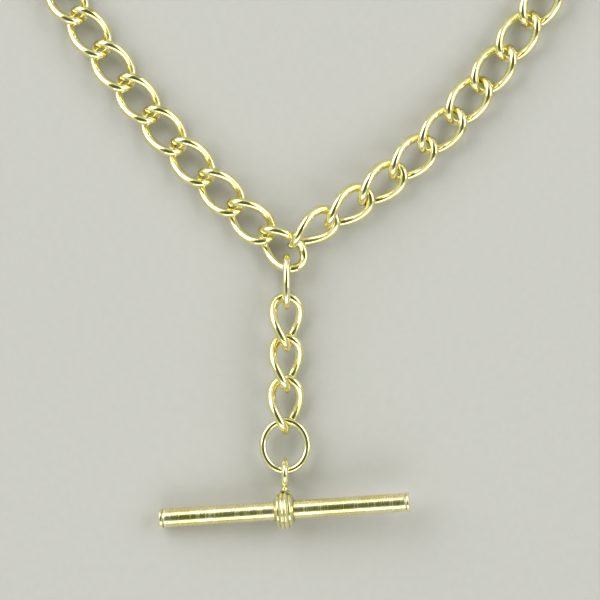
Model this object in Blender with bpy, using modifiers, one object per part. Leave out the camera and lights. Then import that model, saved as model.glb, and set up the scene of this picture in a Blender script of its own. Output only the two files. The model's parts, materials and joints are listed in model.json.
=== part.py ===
"""Double Albert pocket watch chain, laid flat on a table. A centre link carries two curb link arms, each
with a swivel clip at its end, and a short drop with a toggle bar.

Metres, +Z up, origin on the table under the middle of the chain's box. Every hinge in the chain is
vertical, midway between the two wires that hook into each other."""

import math

import bmesh
import bpy
import numpy as np
from mathutils import Matrix, Vector

# Curb links
wire = 0.00130
link_length = 0.00850
link_width = 0.00580
link_slack = 0.00016
link_squareness = 0.15
link_twist = math.radians(90)
arm_links = 18

# Lie of the two arms: each is a catenary, whose slope starts at a value and grows with the length
left_slope = 0.80
left_sag_length = 0.0610
right_slope = 0.56
right_sag_length = 0.0470

# Centre link, which carries both arms and the drop
centre_roll = math.radians(22)
centre_lift = 0.00022
right_hook_side = 0.323
right_hook_wires = 1.92
left_rolls = [math.radians(-angle) for angle in (16, 10, 5)]
left_lifts = [0.00020, 0.00012, 0.00005]
right_rolls = [math.radians(angle) for angle in (48, 39, 30, 21, 13, 6)]

# Drop: jump ring, three curb links, oval ring
jump_wire = 0.00107
jump_length = 0.00800
jump_width = 0.00490
jump_seat_angle = math.radians(-47.5)
drop_heading = math.radians(-90.5)
drop_rolls = [math.radians(angle) for angle in (-45, -45, -36)]
ring_wire = 0.00103
ring_length = 0.00797
ring_width = 0.00720
ring_drop = 0.00067

# Toggle bar
bar_length = 0.0350
bar_radius = 0.00130
bar_wall = 0.00030
cap_thickness = 0.00050
cap_overhang = 0.00005
spigot_length = 0.00120
fit_gap = 0.00005
collar_radius = 0.00275
collar_width = 0.00265
collar_rim_radius = 0.00185
collar_reeds = 4
collar_reed_depth = 0.00016
eye_wire = 0.00092
eye_length = 0.00440
eye_width = 0.00520
eye_slack = 0.00045
eye_neck_length = 0.00025
eye_peg_depth = 0.00055
eye_peg_radius = 0.00042
bar_turn = math.radians(4.5)

# Bow, swivel and clip
bow_wire = 0.00100
bow_length = 0.00480
bow_slack = 0.00045
bow_roll = math.radians(32)
stem_radius = 0.00060
stem_head_radius = 0.00100
stem_head_thickness = 0.00070
stem_head_chamfer = 0.00015
stem_clearance = 0.00012
bow_neck_gap = 0.00050
head_play = 0.00030
clip_thickness = 0.00300
clip_heading = math.radians(90)
neck_half_width = 0.00210
neck_corner = 0.00080
neck_wall = 0.00170
window_length = 0.00140
window_half_width = 0.00130
slot_start = 0.00390
slot_half_thickness = 0.00090
slot_top = 0.00090
hook_centre = 0.01100
hook_half_length = 0.00600
hook_half_width = 0.00390
hook_half_wall = 0.00095
hook_start = 150
hook_nose = -98
pivot_angle = -150
ear_radius = 0.00130
rivet_radius = 0.00036
rivet_clearance = 0.00006
rivet_recess = 0.00005

# Latch and its leaf spring
latch_half_wall = 0.00062
latch_half_thickness = 0.00080
latch_gap = 0.00020
latch_hub_radius = 0.00100
latch_hub_side = 9
latch_thumb_height = 0.00080
heel_back = 0.00060
heel_rise = 0.00135
heel_length = 0.00040
heel_chamfer = 0.00015
leaf_thickness = 0.00022
leaf_half_width = 0.00060
leaf_inset = 0.00030
leaf_root_drop = 0.00012
leaf_tip_drop = 0.00008
leaf_bow = 0.00018

# Fineness of the meshes
link_points = 18
ring_points = 24
arc_steps = 16
ring_turns = [2 * math.pi * step / ring_points for step in range(ring_points)]

gold = ("polished_gold", (0.80, 0.68, 0.30), 0.16)
gold_light = ("light_gold", (0.84, 0.76, 0.40), 0.20)
gold_steel = ("spring_steel", (0.62, 0.60, 0.52), 0.30)


def clear_scene():
    for item in list(bpy.data.objects):
        bpy.data.objects.remove(item, do_unlink=True)


def new_collection(name):
    made = bpy.data.collections.new(name)
    bpy.context.scene.collection.children.link(made)
    return made


def material_for(node, finish):
    """A metal of the given finish, kept for one node."""
    name, colour, roughness = finish
    made = bpy.data.materials.new(node + "_" + name)
    made.use_nodes = True
    shader = made.node_tree.nodes["Principled BSDF"]
    shader.inputs["Base Color"].default_value = (*colour, 1)
    shader.inputs["Metallic"].default_value = 1.0
    shader.inputs["Roughness"].default_value = roughness
    return made


def turned(heading, roll=0.0):
    return Matrix.Rotation(heading, 4, "Z") @ Matrix.Rotation(roll, 4, "X")


def add_object(name, data, matrix, finish, smooth=True):
    """Places data as a node, with its own material on the object."""
    made = bpy.data.objects.new(name, data)
    chain.objects.link(made)
    if not data.materials:
        data.materials.append(None)
    made.material_slots[0].link = "OBJECT"
    made.material_slots[0].material = material_for(name, finish)
    made.matrix_world = matrix
    if smooth and made.type == "MESH":
        data.shade_smooth()
        data.set_sharp_from_angle(angle=math.radians(35))
    return made


def add_pivot(name, position, heading):
    """An empty on a joint's axis, which carries the pieces that move with it."""
    made = bpy.data.objects.new(name, None)
    made.empty_display_size = 0.002
    chain.objects.link(made)
    made.matrix_world = Matrix.Translation(position) @ turned(heading)
    return made


def attach(item, pivot):
    world = item.matrix_world.copy()
    item.parent = pivot
    item.matrix_parent_inverse = Matrix()
    item.matrix_basis = pivot.matrix_world.inverted() @ world


# Wire loops


def curb_point(angle, half_length, half_width, roll=0.0):
    """A point on a curb link's centre line: an oval, twisted evenly along its length."""
    along = half_length * math.cos(angle)
    across = half_width * math.sin(angle) * (1 + link_squareness * math.cos(angle) ** 2)
    turn = roll - link_twist / 2 * along / half_length
    return Vector((along, across * math.cos(turn), across * math.sin(turn)))


def oval_point(angle, half_length, half_width, roll=0.0):
    across = half_width * math.sin(angle)
    return Vector((half_length * math.cos(angle), across * math.cos(roll), across * math.sin(roll)))


def lowest_height(point_at, thickness, half_length, half_width, roll):
    """How high a loop's axis lies when its lowest side rests on the table."""
    turns = np.linspace(0, 2 * math.pi, 721)
    return thickness / 2 - min(point_at(turn, half_length, half_width, roll).z for turn in turns)


def wire_curve(name, points, thickness):
    """A closed round wire through the points."""
    data = bpy.data.curves.new(name, "CURVE")
    data.dimensions = "3D"
    data.bevel_depth = thickness / 2
    data.bevel_resolution = 2
    spline = data.splines.new("POLY")
    spline.points.add(len(points) - 1)
    for spot, point in zip(spline.points, points):
        spot.co = (*point, 1)
    spline.use_cyclic_u = True
    spline.use_smooth = True
    return data


class Loop:
    """A wire loop in the chain: its size, and where its first pivot lies once it is placed."""

    def __init__(self, point_at, length, width, thickness, roll=0.0):
        self.point_at = point_at
        self.thickness = thickness
        self.half_length = (length - thickness) / 2
        self.half_width = (width - thickness) / 2
        self.roll = roll
        self.height = lowest_height(point_at, thickness, self.half_length, self.half_width, roll)

    def lead(self, seat_before):
        """From the loop's first pivot, midway between the two wires that meet, to its middle."""
        return self.half_length - seat_before / 2

    def reach(self, seat_before, seat_after):
        """From the loop's first pivot to the pivot at its far end."""
        return 2 * self.half_length - (seat_before + seat_after) / 2


def seat(first_wire, second_wire, slack=link_slack):
    """Distance between the centre lines of two wires that hook into each other."""
    return (first_wire + second_wire) / 2 + slack


def curb_link(roll=0.0):
    return Loop(curb_point, link_length, link_width, wire, roll)


def loop_curve(name, loop, seat_before, count):
    """A closed wire loop, lying unrolled, with its origin at the pivot of its first end."""
    shift = Vector((loop.lead(seat_before), 0, 0))
    turns = [2 * math.pi * step / count for step in range(count)]
    points = [loop.point_at(turn, loop.half_length, loop.half_width) + shift for turn in turns]
    return wire_curve(name, points, loop.thickness)


def direction(heading):
    return Vector((math.cos(heading), math.sin(heading), 0))


link_lead = (link_length - wire) / 2 - (wire + link_slack) / 2
link_pitch = 2 * link_lead


def place_links(names, rolls, lifts, headings, pivot):
    """A run of curb links, each hooked through the one before. Returns the pivot at its far end.

    A rolled link lies higher. A lift raises it further, where its neighbour holds it off the table."""
    for name, roll, lift, heading in zip(names, rolls, lifts, headings):
        spot = Vector((pivot.x, pivot.y, curb_link(roll).height + lift))
        add_object(name, curb_data, Matrix.Translation(spot) @ turned(heading, roll), gold)
        pivot = spot + direction(heading) * link_pitch
    return pivot


def padded(values, count):
    return [values[index] if index < len(values) else 0.0 for index in range(count)]


def arm_headings(slope, sag_length, count, to_left):
    """Headings of a hanging chain's links, whose slope grows evenly with the length passed."""
    found = []
    for step in range(count):
        angle = math.atan(slope + step * link_pitch / sag_length)
        found.append(math.pi - angle if to_left else angle)
    return found


# Solids


def mesh_from(item):
    """The evaluated mesh of a curve or a modified object as a new welded mesh; the object is removed."""
    bpy.context.view_layer.update()
    graph = bpy.context.evaluated_depsgraph_get()
    data = bpy.data.meshes.new_from_object(item.evaluated_get(graph))
    work = bmesh.new()
    work.from_mesh(data)
    bmesh.ops.remove_doubles(work, verts=work.verts, dist=1e-7)
    work.to_mesh(data)
    work.free()
    bpy.data.objects.remove(item, do_unlink=True)
    return data


def plate(name, outline, half_thickness):
    """A flat outline of (x, y) points, thickened both ways, as a mesh."""
    data = bpy.data.curves.new(name, "CURVE")
    data.dimensions = "2D"
    data.fill_mode = "BOTH"
    data.extrude = half_thickness
    spline = data.splines.new("POLY")
    spline.points.add(len(outline) - 1)
    for spot, (x, y) in zip(spline.points, outline):
        spot.co = (x, y, 0, 1)
    spline.use_cyclic_u = True
    item = bpy.data.objects.new(name, data)
    chain.objects.link(item)
    return mesh_from(item)


def lathe(name, profile, steps=24):
    """A profile of (radius, along) points, turned about the X axis, as a mesh."""
    data = bpy.data.meshes.new(name)
    points = [(radius, 0, height) for radius, height in profile]
    data.from_pydata(points, [(at, at + 1) for at in range(len(points) - 1)], [])
    item = bpy.data.objects.new(name, data)
    chain.objects.link(item)
    screw = item.modifiers.new("turn", "SCREW")
    screw.steps = steps
    screw.render_steps = steps
    screw.use_merge_vertices = True
    screw.merge_threshold = 1e-6
    made = mesh_from(item)
    made.transform(Matrix.Rotation(math.radians(90), 4, "Y"))
    return made


def box_data(name, low, high):
    work = bmesh.new()
    size = Vector(high) - Vector(low)
    middle = (Vector(high) + Vector(low)) / 2
    bmesh.ops.create_cube(work, size=1, matrix=Matrix.Translation(middle) @ Matrix.Diagonal((*size, 1)))
    data = bpy.data.meshes.new(name)
    work.to_mesh(data)
    work.free()
    return data


def cylinder_data(name, radius, length, sides=24):
    """A cylinder along Z, centred on the origin."""
    work = bmesh.new()
    bmesh.ops.create_cone(
        work, cap_ends=True, segments=sides, radius1=radius, radius2=radius, depth=length
    )
    data = bpy.data.meshes.new(name)
    work.to_mesh(data)
    work.free()
    return data


def cutter(name, data, matrix):
    item = bpy.data.objects.new(name, data)
    cutters.objects.link(item)
    item.matrix_world = matrix
    item.hide_render = True
    item.display_type = "WIRE"
    return item


def combine(item, other, operation):
    step = item.modifiers.new(other.name, "BOOLEAN")
    step.operation = operation
    step.solver = "EXACT"
    step.object = other


def ellipse_arc(half_length, half_width, first, last, steps=arc_steps):
    """Points (x, y) of the hook's oval, from one angle in degrees to another."""
    angles = np.radians(np.linspace(first, last, steps + 1))
    return [(hook_centre + half_length * math.cos(a), half_width * math.sin(a)) for a in angles]


def round_arc(middle, radius, first, last, steps=8):
    angles = np.radians(np.linspace(first, last, steps + 1))
    return [(middle[0] + radius * math.cos(a), middle[1] + radius * math.sin(a)) for a in angles]


# Toggle bar


def collar_profile():
    """A barrel with reeds, from its right rim over the top to its left rim, then back along the bore."""
    steps = 6 * collar_reeds
    points = []
    for step in range(steps + 1):
        share = 1 - 2 * step / steps
        barrel = collar_rim_radius + (collar_radius - collar_rim_radius) * (1 - share**2)
        groove = collar_reed_depth * abs(math.cos(math.pi * collar_reeds * (share + 1) / 2))
        points.append((barrel - groove, share * collar_width / 2))
    bore = bar_radius + fit_gap
    return points + [(bore, -collar_width / 2), (bore, collar_width / 2), points[0]]


def add_toggle(pivot, ring_end):
    """The eye, collar, tube and two end caps. ring_end is the middle of the ring's lower wire."""
    below = Vector((ring_end.x, ring_end.y, collar_radius))
    frame = Matrix.Translation(below) @ turned(drop_heading + math.pi / 2)
    upright = Matrix.Rotation(math.radians(90), 4, "X")
    eye_half = (eye_length - eye_wire) / 2
    eye_middle = seat(ring_wire, eye_wire, eye_slack) - eye_half
    collar_top = eye_middle - eye_half - eye_wire / 2 - eye_neck_length
    tip = math.asin((collar_radius - bar_radius - cap_overhang) / (bar_length / 2))
    lean = Matrix.Rotation(bar_turn, 4, "Z") @ Matrix.Rotation(-tip, 4, "Y")
    place = frame @ Matrix.Translation((0, collar_top - collar_radius, 0)) @ lean
    body_length = bar_length - 2 * cap_thickness

    neck = cutter(
        "neck_hole",
        cylinder_data("neck_hole", eye_peg_radius + fit_gap, 2 * eye_peg_depth),
        frame @ Matrix.Translation((0, collar_top, 0)) @ upright,
    )
    collar = add_object("toggle_collar", lathe("toggle_collar", collar_profile()), place, gold_light)
    combine(collar, neck, "DIFFERENCE")

    eye_rise = (eye_width - eye_wire) / 2
    points = [(0, eye_half * math.cos(turn), eye_rise * math.sin(turn)) for turn in ring_turns]
    eye_item = bpy.data.objects.new("eye", wire_curve("eye", points, eye_wire))
    chain.objects.link(eye_item)
    eye_data = mesh_from(eye_item)
    eye = add_object("toggle_eye", eye_data, frame @ Matrix.Translation((0, eye_middle, 0)), gold)
    neck_bottom = collar_top - eye_peg_depth + fit_gap
    neck_top = eye_middle - eye_half
    peg = cutter(
        "eye_peg",
        cylinder_data("eye_peg", eye_peg_radius, neck_top - neck_bottom),
        frame @ Matrix.Translation((0, (neck_top + neck_bottom) / 2, 0)) @ upright,
    )
    combine(eye, peg, "UNION")

    inner = bar_radius - bar_wall
    half = body_length / 2
    tube_profile = [
        (bar_radius, half),
        (bar_radius, -half),
        (inner, -half),
        (inner, half),
        (bar_radius, half),
    ]
    tube = add_object("toggle_tube", lathe("toggle_tube", tube_profile), place, gold)

    rim = bar_radius + cap_overhang
    edge = cap_thickness / 4
    spigot = inner - fit_gap
    cap_profile = [
        (0, cap_thickness),
        (rim - edge, cap_thickness),
        (rim, cap_thickness - edge),
        (rim, edge + fit_gap),
        (rim - edge, fit_gap),
        (spigot, fit_gap),
        (spigot, -spigot_length),
        (0, -spigot_length),
    ]
    caps = []
    for side, name in ((1, "toggle_cap_right"), (-1, "toggle_cap_left")):
        flip = Matrix.Rotation(0 if side > 0 else math.pi, 4, "Z")
        where = place @ Matrix.Translation((side * half, 0, 0)) @ flip
        caps.append(add_object(name, lathe(name, cap_profile), where, gold))
    for item in (collar, eye, tube, *caps):
        attach(item, pivot)


# Swivel clip

pivot_spot = (
    hook_centre + hook_half_length * math.cos(math.radians(pivot_angle)),
    hook_half_width * math.sin(math.radians(pivot_angle)),
)


def body_outline():
    """Neck, hook and ear in one outline, clockwise from the neck's top corner."""
    outer = (hook_half_length + hook_half_wall, hook_half_width + hook_half_wall)
    inner = (hook_half_length - hook_half_wall, hook_half_width - hook_half_wall)
    nose = ellipse_arc(hook_half_length, hook_half_width, hook_nose, hook_nose, 0)[0]
    corner = neck_half_width - neck_corner
    points = [(0, corner), (neck_corner, neck_half_width)]
    points += ellipse_arc(*outer, hook_start, hook_nose, 2 * arc_steps)
    points += round_arc(nose, hook_half_wall, hook_nose - 30, hook_nose - 150, 6)
    points += ellipse_arc(*inner, hook_nose, hook_start + 15, 2 * arc_steps)
    points += round_arc(pivot_spot, ear_radius, 65, -135, 10)
    return points + [(neck_corner, -neck_half_width), (0, -corner)]


# The corner of the latch's heel that the leaf's tip rests beside
heel_corner = (pivot_spot[0] - heel_back, pivot_spot[1] + heel_rise)


def latch_outline():
    """Latch along the oval's gap, with a thumb rise, a round hub and a heel that meets the leaf."""
    nose_reach = hook_half_wall + latch_gap
    nose_x = hook_centre + hook_half_length * math.cos(math.radians(hook_nose))
    tip = -math.degrees(math.acos((nose_x - nose_reach - hook_centre) / hook_half_length))
    hub_side = pivot_angle + latch_hub_side
    outer = (hook_half_length + latch_half_wall, hook_half_width + latch_half_wall)
    inner = (hook_half_length - latch_half_wall, hook_half_width - latch_half_wall)
    thumb = (outer[0] + latch_thumb_height, outer[1] + latch_thumb_height)
    span = hub_side - tip
    points = ellipse_arc(*outer, tip, tip + span * 0.3, 3)
    points += ellipse_arc(*thumb, tip + span * 0.4, tip + span * 0.55, 3)
    points += ellipse_arc(*outer, tip + span * 0.7, hub_side, 2)
    points += round_arc(pivot_spot, latch_hub_radius, -100, -235, 8)
    back, rise = heel_corner
    points += [(back, rise), (back + heel_length, rise + heel_chamfer)]
    points += [
        (back + heel_length + 2 * heel_chamfer, rise),
        (back + heel_length + 3 * heel_chamfer, pivot_spot[1] + latch_hub_radius * 0.9),
    ]
    return points + ellipse_arc(*inner, hub_side, tip, 6)


leaf_root = (slot_start + leaf_inset, slot_top - leaf_root_drop)


def leaf_outline():
    """A thin leaf from the slot's back corner to just short of the latch's heel."""
    tip = (heel_corner[0] - leaf_thickness / 2 - fit_gap, heel_corner[1] - leaf_tip_drop)
    middle_line = []
    for share in np.linspace(0, 1, 7):
        x = leaf_root[0] + (tip[0] - leaf_root[0]) * share - leaf_bow * math.sin(math.pi * share)
        y = leaf_root[1] + (tip[1] - leaf_root[1]) * share
        middle_line.append((x, y))
    half = leaf_thickness / 2
    return [(x - half, y) for x, y in middle_line] + [(x + half, y) for x, y in reversed(middle_line)]


def add_bow(side, base, middle, half_length):
    """A closed bow with a headed stem, on which the clip's body turns."""
    loop = [oval_point(turn, half_length, half_length, bow_roll) for turn in ring_turns]
    shift = Vector((middle, 0, 0))
    item = bpy.data.objects.new("bow", wire_curve("bow", [point + shift for point in loop], bow_wire))
    chain.objects.link(item)
    bow = add_object(side + "_bow", mesh_from(item), base, gold)
    stem_start = middle + half_length
    head_start = stem_start + bow_wire / 2 + bow_neck_gap + neck_wall + head_play
    head_end = head_start + stem_head_thickness
    stem_profile = [
        (0, head_end),
        (stem_head_radius - stem_head_chamfer, head_end),
        (stem_head_radius, head_end - stem_head_chamfer),
        (stem_head_radius, head_start),
        (stem_radius, head_start),
        (stem_radius, stem_start),
        (0, stem_start),
    ]
    combine(bow, cutter(side + "_stem", lathe("stem", stem_profile, 16), base), "UNION")
    return base @ Matrix.Translation((stem_start + bow_wire / 2 + bow_neck_gap, 0, 0))


def add_body(side, swivel, at_pivot):
    """The clip's body: neck with a bore and a window for the stem's head, hook, and slotted ear."""
    through = 2 * clip_thickness
    outline = plate("clip_body", body_outline(), clip_thickness / 2)
    body = add_object(side + "_clip_body", outline, swivel, gold, smooth=False)
    bore = cylinder_data("bore", stem_radius + stem_clearance, 2 * neck_wall + fit_gap, 16)
    along = swivel @ Matrix.Rotation(math.radians(90), 4, "Y")
    combine(body, cutter(side + "_bore", bore, along), "DIFFERENCE")
    window = box_data(
        "window",
        (neck_wall, -window_half_width, -through),
        (neck_wall + window_length, window_half_width, through),
    )
    combine(body, cutter(side + "_window", window, swivel), "DIFFERENCE")
    slot = box_data(
        "slot",
        (slot_start, -2 * hook_half_width, -slot_half_thickness),
        (pivot_spot[0] + 2 * ear_radius, slot_top, slot_half_thickness),
    )
    combine(body, cutter(side + "_slot", slot, swivel), "DIFFERENCE")
    hole = cylinder_data("rivet_hole", rivet_radius + rivet_clearance, through, 16)
    combine(body, cutter(side + "_rivet_hole", hole, at_pivot), "DIFFERENCE")
    return body


def add_clip(side, link_end):
    """Bow, clip body, rivet, latch and leaf, hooked into the last link's end wire at link_end."""
    gap = seat(wire, bow_wire, bow_slack)
    half_length = (bow_length - bow_wire) / 2
    middle = half_length - gap / 2
    spot = Vector((link_end.x, link_end.y, clip_thickness / 2))
    base = Matrix.Translation(spot) @ turned(clip_heading)
    swivel = add_bow(side, base, middle, half_length)
    at_pivot = swivel @ Matrix.Translation((*pivot_spot, 0))

    body_pivot = add_pivot(side + "_swivel_pivot", swivel.translation, clip_heading)
    body = add_body(side, swivel, at_pivot)
    rivet_data = cylinder_data("rivet", rivet_radius, clip_thickness - 2 * rivet_recess, 16)
    rivet = add_object(side + "_latch_rivet", rivet_data, at_pivot, gold_light)
    latch_pivot = add_pivot(side + "_latch_pivot", at_pivot.translation, clip_heading)
    latch_data = plate("latch", latch_outline(), latch_half_thickness)
    latch = add_object(side + "_latch", latch_data, swivel, gold, smooth=False)
    hole = cylinder_data("latch_hole", rivet_radius + rivet_clearance, 2 * clip_thickness, 16)
    combine(latch, cutter(side + "_latch_hole", hole, at_pivot), "DIFFERENCE")
    leaf_spot = swivel @ Matrix.Translation((*leaf_root, 0))
    leaf_pivot = add_pivot(side + "_spring_pivot", leaf_spot.translation, clip_heading)
    leaf_data = plate("leaf", leaf_outline(), leaf_half_width)
    leaf = add_object(side + "_latch_spring", leaf_data, swivel, gold_steel, smooth=False)
    for item in (body, rivet, latch_pivot, leaf_pivot):
        attach(item, body_pivot)
    bpy.context.view_layer.update()
    attach(latch, latch_pivot)
    attach(leaf, leaf_pivot)


# The chain

clear_scene()
chain = new_collection("pocket_watch_chain")
cutters = new_collection("cutters")
cutters.hide_render = True

centre = curb_link(centre_roll)
curb_data = loop_curve("curb_link", centre, seat(wire, wire), link_points)
bow_offset = (seat(wire, wire) - seat(wire, bow_wire, bow_slack)) / 2
left_headings = arm_headings(left_slope, left_sag_length, arm_links + 1, True)
right_headings = arm_headings(right_slope, right_sag_length, arm_links + 1, False)

# The centre link points down to the right, away from the left arm, which leaves by its first end.
centre_heading = left_headings[0] + math.pi
centre_spot = Vector((0, 0, centre.height + centre_lift))
centre_way = direction(centre_heading)
centre_side = direction(centre_heading + math.pi / 2)
first_end = centre_spot - centre_way * link_lead
add_object(
    "centre_link", curb_data, Matrix.Translation(first_end) @ turned(centre_heading, centre_roll), gold
)

left_names = ["left_link_%02d" % (index + 1) for index in range(arm_links)]
left_turns = padded(left_rolls, arm_links)
left_rises = padded(left_lifts, arm_links)
left_end = place_links(left_names, left_turns, left_rises, left_headings[1:], first_end)
add_clip("left", left_end + direction(left_headings[-1]) * bow_offset)

# The right arm hooks in beside the far end, where the link's oval has begun to turn in.
right_across = centre.half_width * right_hook_side
right_along = centre.half_length * math.sqrt(1 - right_hook_side**2) - right_hook_wires * wire
# A bend tighter than the wire holds it further from the tip.
right_along -= max(0.0, wire - centre.half_width**2 / centre.half_length)
right_start = centre_spot + centre_way * right_along + centre_side * right_across
right_pivot = right_start + direction(right_headings[0]) * seat(wire, wire) / 2
right_names = ["right_link_%02d" % (index + 1) for index in range(arm_links + 1)]
right_turns = padded(right_rolls, arm_links + 1)
no_lifts = padded([], arm_links + 1)
right_end = place_links(right_names, right_turns, no_lifts, right_headings, right_pivot)
add_clip("right", right_end + direction(right_headings[-1]) * bow_offset)

# The jump ring stands on edge round the centre link's lower strand.
down = direction(drop_heading)
jump = Loop(oval_point, jump_length, jump_width, jump_wire, math.pi / 2)
jump_seat = seat(wire, jump_wire)
strand = curb_point(jump_seat_angle, centre.half_length, centre.half_width, centre_roll)
strand = centre_spot + centre_way * strand.x + centre_side * strand.y
jump_pivot = Vector((strand.x, strand.y, jump.height)) - down * jump_seat / 2
jump_data = loop_curve("jump_ring", jump, jump_seat, ring_points)
jump_place = Matrix.Translation(jump_pivot) @ turned(drop_heading, jump.roll)
add_object("jump_ring", jump_data, jump_place, gold_light)

drop_pivot = jump_pivot + down * jump.reach(jump_seat, jump_seat)
drop_names = ["drop_link_%d" % (index + 1) for index in range(len(drop_rolls))]
drop_headings = [drop_heading] * len(drop_rolls)
ring_seat = seat(wire, ring_wire)
ring_pivot = place_links(drop_names, drop_rolls, no_lifts, drop_headings, drop_pivot)
ring_pivot += down * (seat(wire, wire) - ring_seat) / 2

ring = Loop(oval_point, ring_length, ring_width, ring_wire)
ring_data = loop_curve("toggle_ring", ring, ring_seat, ring_points)
ring_pivot.z = collar_radius - ring_drop
add_object("toggle_ring", ring_data, Matrix.Translation(ring_pivot) @ turned(drop_heading), gold_light)

# The bar swings round the middle of the ring, as its eye slides along the ring's wire.
ring_middle = ring_pivot + down * ring.lead(ring_seat)
toggle_pivot = add_pivot("toggle_pivot", ring_middle, drop_heading + math.pi / 2)
add_toggle(toggle_pivot, ring_middle + down * ring.half_length)


def move_to_origin():
    """Shifts everything so that the origin is under the middle of the chain's box."""
    bpy.context.view_layer.update()
    graph = bpy.context.evaluated_depsgraph_get()
    corners = []
    for item in chain.objects:
        if item.type == "EMPTY":
            continue
        evaluated = item.evaluated_get(graph)
        data = evaluated.to_mesh()
        spots = np.empty(len(data.vertices) * 3, np.float32)
        data.vertices.foreach_get("co", spots)
        world = np.array(evaluated.matrix_world)
        spots = spots.reshape(-1, 3) @ world[:3, :3].T + world[:3, 3]
        corners += [spots.min(axis=0), spots.max(axis=0)]
        evaluated.to_mesh_clear()
    low = np.min(corners, axis=0)
    high = np.max(corners, axis=0)
    shift = Vector((-(low[0] + high[0]) / 2, -(low[1] + high[1]) / 2, -low[2]))
    for item in [*chain.objects, *cutters.objects]:
        if item.parent is None:
            item.matrix_world = Matrix.Translation(shift) @ item.matrix_world


move_to_origin()
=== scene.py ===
import json
import math

import bmesh
import bpy
import numpy as np
from mathutils import Matrix, Vector


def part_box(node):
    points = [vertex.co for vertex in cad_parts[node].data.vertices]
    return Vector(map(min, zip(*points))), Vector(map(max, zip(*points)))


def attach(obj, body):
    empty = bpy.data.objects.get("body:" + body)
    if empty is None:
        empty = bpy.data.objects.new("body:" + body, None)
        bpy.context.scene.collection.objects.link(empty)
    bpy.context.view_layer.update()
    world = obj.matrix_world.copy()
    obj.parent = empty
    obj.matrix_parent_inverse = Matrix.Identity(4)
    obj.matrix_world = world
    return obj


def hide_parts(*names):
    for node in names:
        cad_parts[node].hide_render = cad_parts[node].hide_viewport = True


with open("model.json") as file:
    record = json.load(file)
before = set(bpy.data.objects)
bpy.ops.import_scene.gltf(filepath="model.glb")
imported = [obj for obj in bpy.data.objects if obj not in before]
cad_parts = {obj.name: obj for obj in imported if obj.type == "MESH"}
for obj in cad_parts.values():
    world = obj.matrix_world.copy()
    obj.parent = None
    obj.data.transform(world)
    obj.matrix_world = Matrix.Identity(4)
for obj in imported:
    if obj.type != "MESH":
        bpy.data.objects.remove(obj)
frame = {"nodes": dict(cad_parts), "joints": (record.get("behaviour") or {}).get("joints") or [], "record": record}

print("frame loaded")

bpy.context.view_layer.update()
scene = bpy.context.scene
mm = 0.001
upAxis = Vector((0, 0, 1))
hinges = {joint["child"]: joint for joint in frame["joints"]}
mounts = {mount["name"]: mount for mount in frame["record"]["mounts"]}


# reading places from the frame

def middleOf(node):
    low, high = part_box(node)
    return (low + high) / 2


def hingeOf(body):
    return Vector(hinges[body]["pos_m"])


def headingTo(start, end):
    return math.atan2(end.y - start.y, end.x - start.x)


def placed(middle, heading, roll=0.0):
    return Matrix.Translation(middle) @ Matrix.Rotation(heading, 4, "Z") @ Matrix.Rotation(roll, 4, "X")


# shader groups, each built once and used by several metals

def startGroup(name, inputs, outputs):
    group = bpy.data.node_groups.new(name, "ShaderNodeTree")
    for label, value in inputs.items():
        kind = "NodeSocketVector" if isinstance(value, tuple) else "NodeSocketFloat"
        group.interface.new_socket(label, in_out="INPUT", socket_type=kind).default_value = value
    for label in outputs:
        group.interface.new_socket(label, in_out="OUTPUT", socket_type="NodeSocketFloat")
    return group, group.nodes.new("NodeGroupInput"), group.nodes.new("NodeGroupOutput")


def addNode(tree, kind, settings=None, values=None):
    node = tree.nodes.new(kind)
    for name, value in (settings or {}).items():
        setattr(node, name, value)
    for name, value in (values or {}).items():
        node.inputs[name].default_value = value
    return node


def addMath(tree, operation, first, second=None, clamp=False):
    node = addNode(tree, "ShaderNodeMath", {"operation": operation, "use_clamp": clamp})
    for slot, source in zip(node.inputs, (first, second)):
        if source is None:
            continue
        if isinstance(source, (int, float)):
            slot.default_value = source
        else:
            tree.links.new(source, slot)
    return node.outputs[0]


def addSpan(tree, source, low, high, toLow=0.0, toHigh=1.0):
    node = addNode(tree, "ShaderNodeMapRange", {"interpolation_type": "SMOOTHSTEP"})
    for name, value in zip(("From Min", "From Max", "To Min", "To Max"), (low, high, toLow, toHigh)):
        node.inputs[name].default_value = value
    tree.links.new(source, node.inputs["Value"])
    return node.outputs["Result"]


def shiftedPlace(tree):
    # object coordinates, moved for each piece so that no two links carry the same marks
    place = addNode(tree, "ShaderNodeTexCoord").outputs["Object"]
    luck = addNode(tree, "ShaderNodeObjectInfo").outputs["Random"]
    shift = addNode(tree, "ShaderNodeVectorMath", {"operation": "SCALE"})
    shift.inputs[0].default_value = (0.11, 0.07, 0.05)
    tree.links.new(luck, shift.inputs["Scale"])
    total = addNode(tree, "ShaderNodeVectorMath", {"operation": "ADD"})
    tree.links.new(place, total.inputs[0])
    tree.links.new(shift.outputs[0], total.inputs[1])
    return total.outputs[0]


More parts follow.
